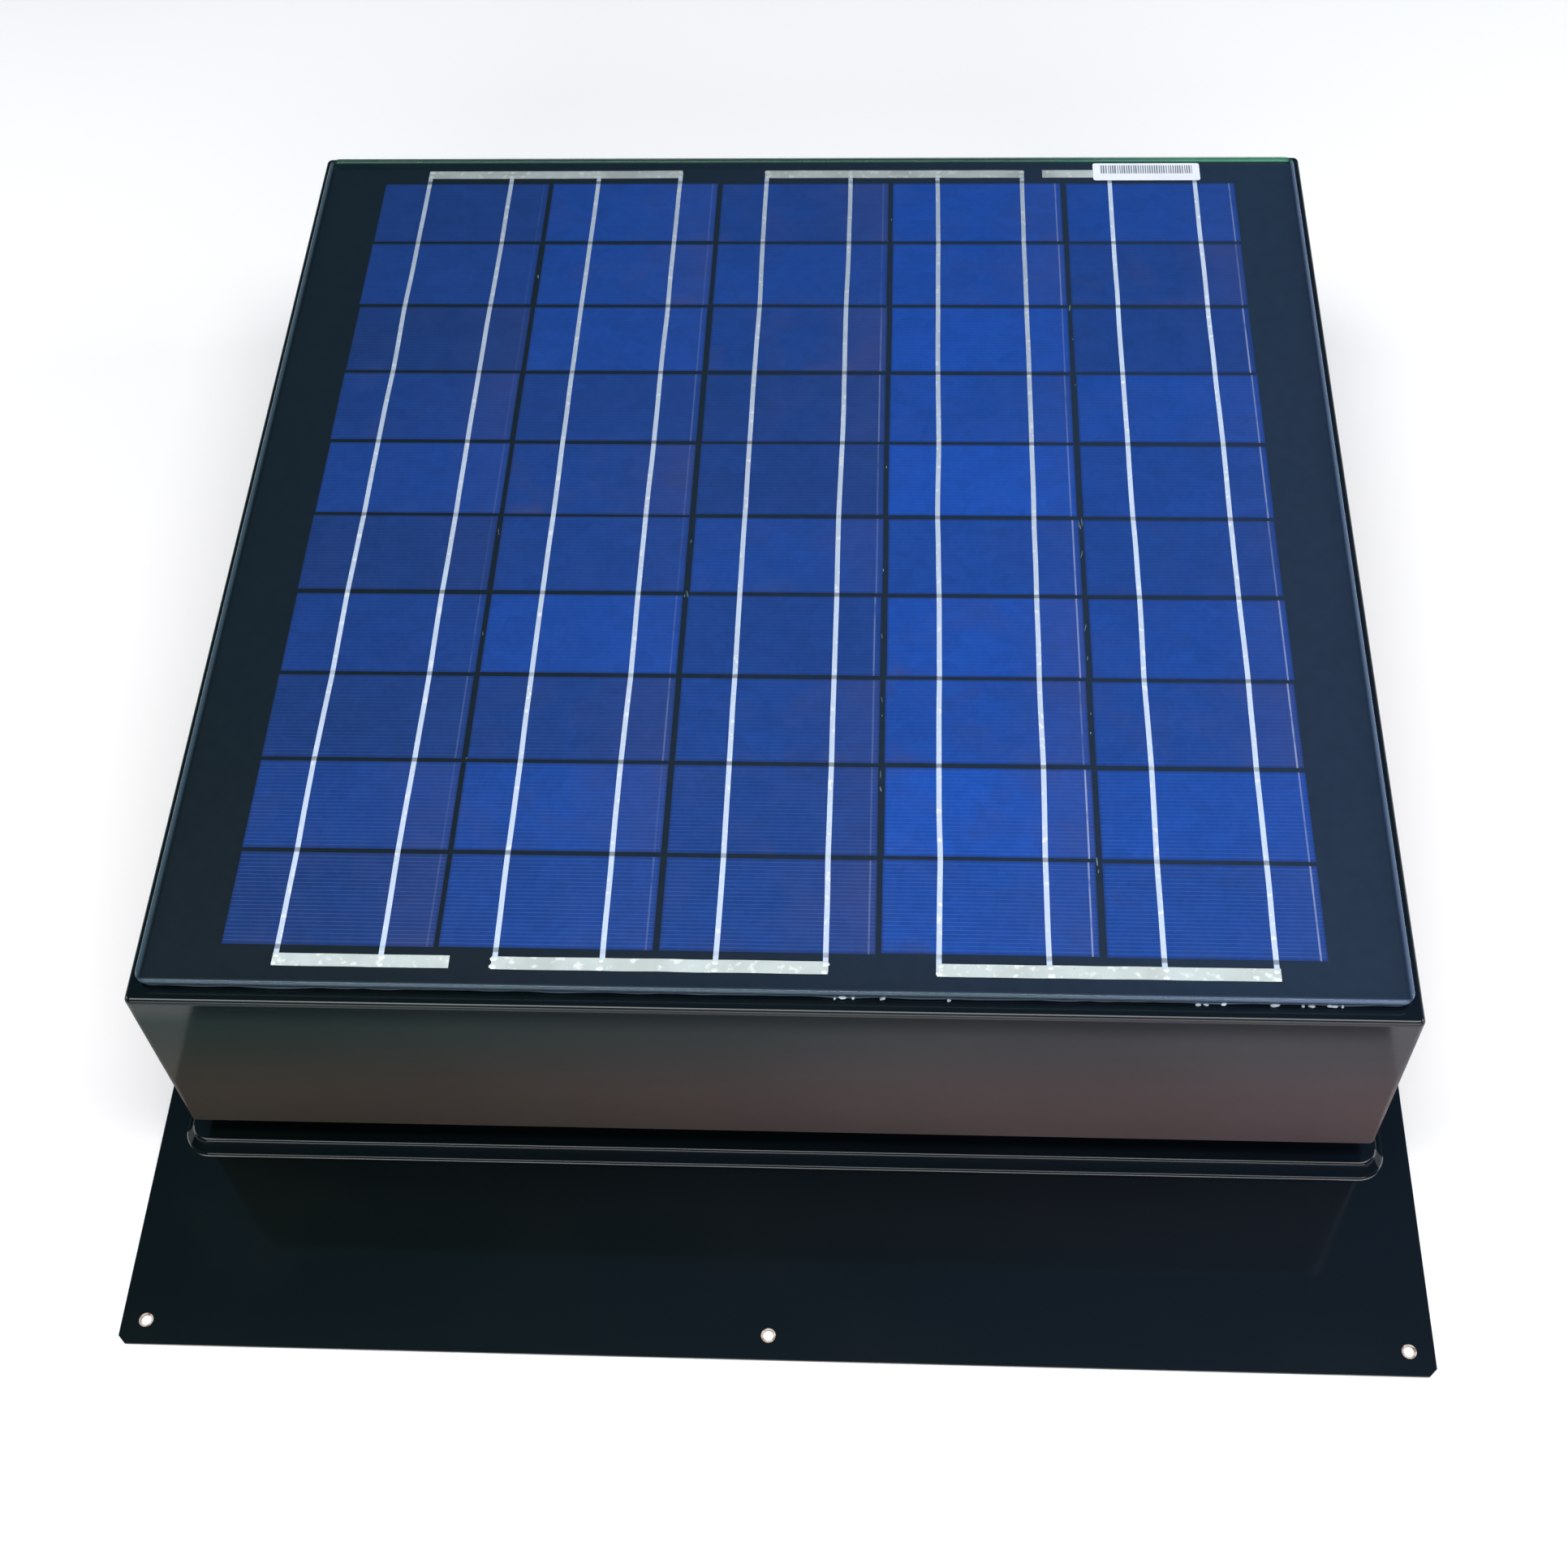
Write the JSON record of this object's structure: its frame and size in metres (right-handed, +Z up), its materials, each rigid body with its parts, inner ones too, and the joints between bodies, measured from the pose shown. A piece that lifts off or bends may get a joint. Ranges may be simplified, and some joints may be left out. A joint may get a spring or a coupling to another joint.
{
  "type": "solar attic fan",
  "caption": "Roof-mounted exhaust fan: flat flashing with a raised step, square skirted hood with a solar panel on top, screened outlet and a motor-driven fan in a round throat.",
  "frame": {"origin": "centre of the flashing's underside, the face that lies on the roof", "axes": "+Z up out of the roof and along the fan's axis, -Y towards the front (down-slope) edge, +X to the right seen from the front"},
  "size_m": [0.66, 0.842, 0.1586],
  "materials": {
    "black_paint": "gloss powder coat",
    "panel_glass": "tempered glass, polished edges",
    "cell_laminate": "blue polycrystalline cells on a black backsheet",
    "seal": "matte cured sealant",
    "galvanised": "galvanised, satin",
    "screen_steel": "galvanised mesh frame",
    "blade_aluminium": "mill finish",
    "motor_black": "satin black",
    "stator_steel": "laminated electrical steel",
    "magnet": "ferrite, dull",
    "bright_steel": "zinc plated",
    "box_plastic": "fine texture",
    "lead_rubber": "smooth jacket",
    "clip_plastic": "natural nylon"
  },
  "bodies": {
    "housing": {"base_flashing": "black_paint", "throat_ring": "black_paint", "hood": "black_paint", "hood_post_back_right": "galvanised", "hood_post_back_left": "galvanised", "hood_post_front_left": "galvanised", "hood_post_front_right": "galvanised", "insect_screen_back": "screen_steel", "insect_screen_left": "screen_steel", "insect_screen_front": "screen_steel", "insect_screen_right": "screen_steel", "motor_bracket": "galvanised", "motor_end_cap": "motor_black", "motor_can": "motor_black", "stator": "stator_steel", "bearing_lower": "bright_steel", "bearing_upper": "bright_steel", "panel_glass": "panel_glass", "cell_laminate": "cell_laminate", "panel_seal": "seal", "junction_box": "box_plastic", "junction_box_lid": "box_plastic", "cable_gland": "box_plastic", "panel_lead": "lead_rubber", "motor_lead": "lead_rubber", "connector_socket": "box_plastic", "connector_plug": "box_plastic", "lead_clip_arm": "clip_plastic", "lead_clip_post": "clip_plastic", "lead_clip_hood": "clip_plastic", "lead_grommet": "lead_rubber", "hood_rivet_back_right": "bright_steel", "hood_rivet_back_left": "bright_steel", "hood_rivet_front_left": "bright_steel", "hood_rivet_front_right": "bright_steel", "foot_rivet_back_right": "bright_steel", "foot_rivet_back_left": "bright_steel", "foot_rivet_front_left": "bright_steel", "foot_rivet_front_right": "bright_steel", "throat_rivet_right": "bright_steel", "throat_rivet_back": "bright_steel", "throat_rivet_left": "bright_steel", "throat_rivet_front": "bright_steel", "bracket_screw_1": "bright_steel", "bracket_screw_2": "bright_steel", "bracket_screw_3": "bright_steel", "motor_screw_1": "bright_steel", "motor_screw_2": "bright_steel", "motor_screw_3": "bright_steel"},
    "fan": {"motor_shaft": "bright_steel", "rotor_magnet": "magnet", "fan_hub": "galvanised", "fan_blade_1": "blade_aluminium", "fan_blade_2": "blade_aluminium", "fan_blade_3": "blade_aluminium", "fan_blade_4": "blade_aluminium", "fan_blade_5": "blade_aluminium", "hub_washer": "bright_steel", "hub_nut": "bright_steel"}
  },
  "joints": [
    {"name": "fan_spin", "type": "hinge", "parent": "housing", "child": "fan", "pos_m": [0, 0, 0.0665], "axis": [0, 0, 1], "continuous": true}
  ]
}
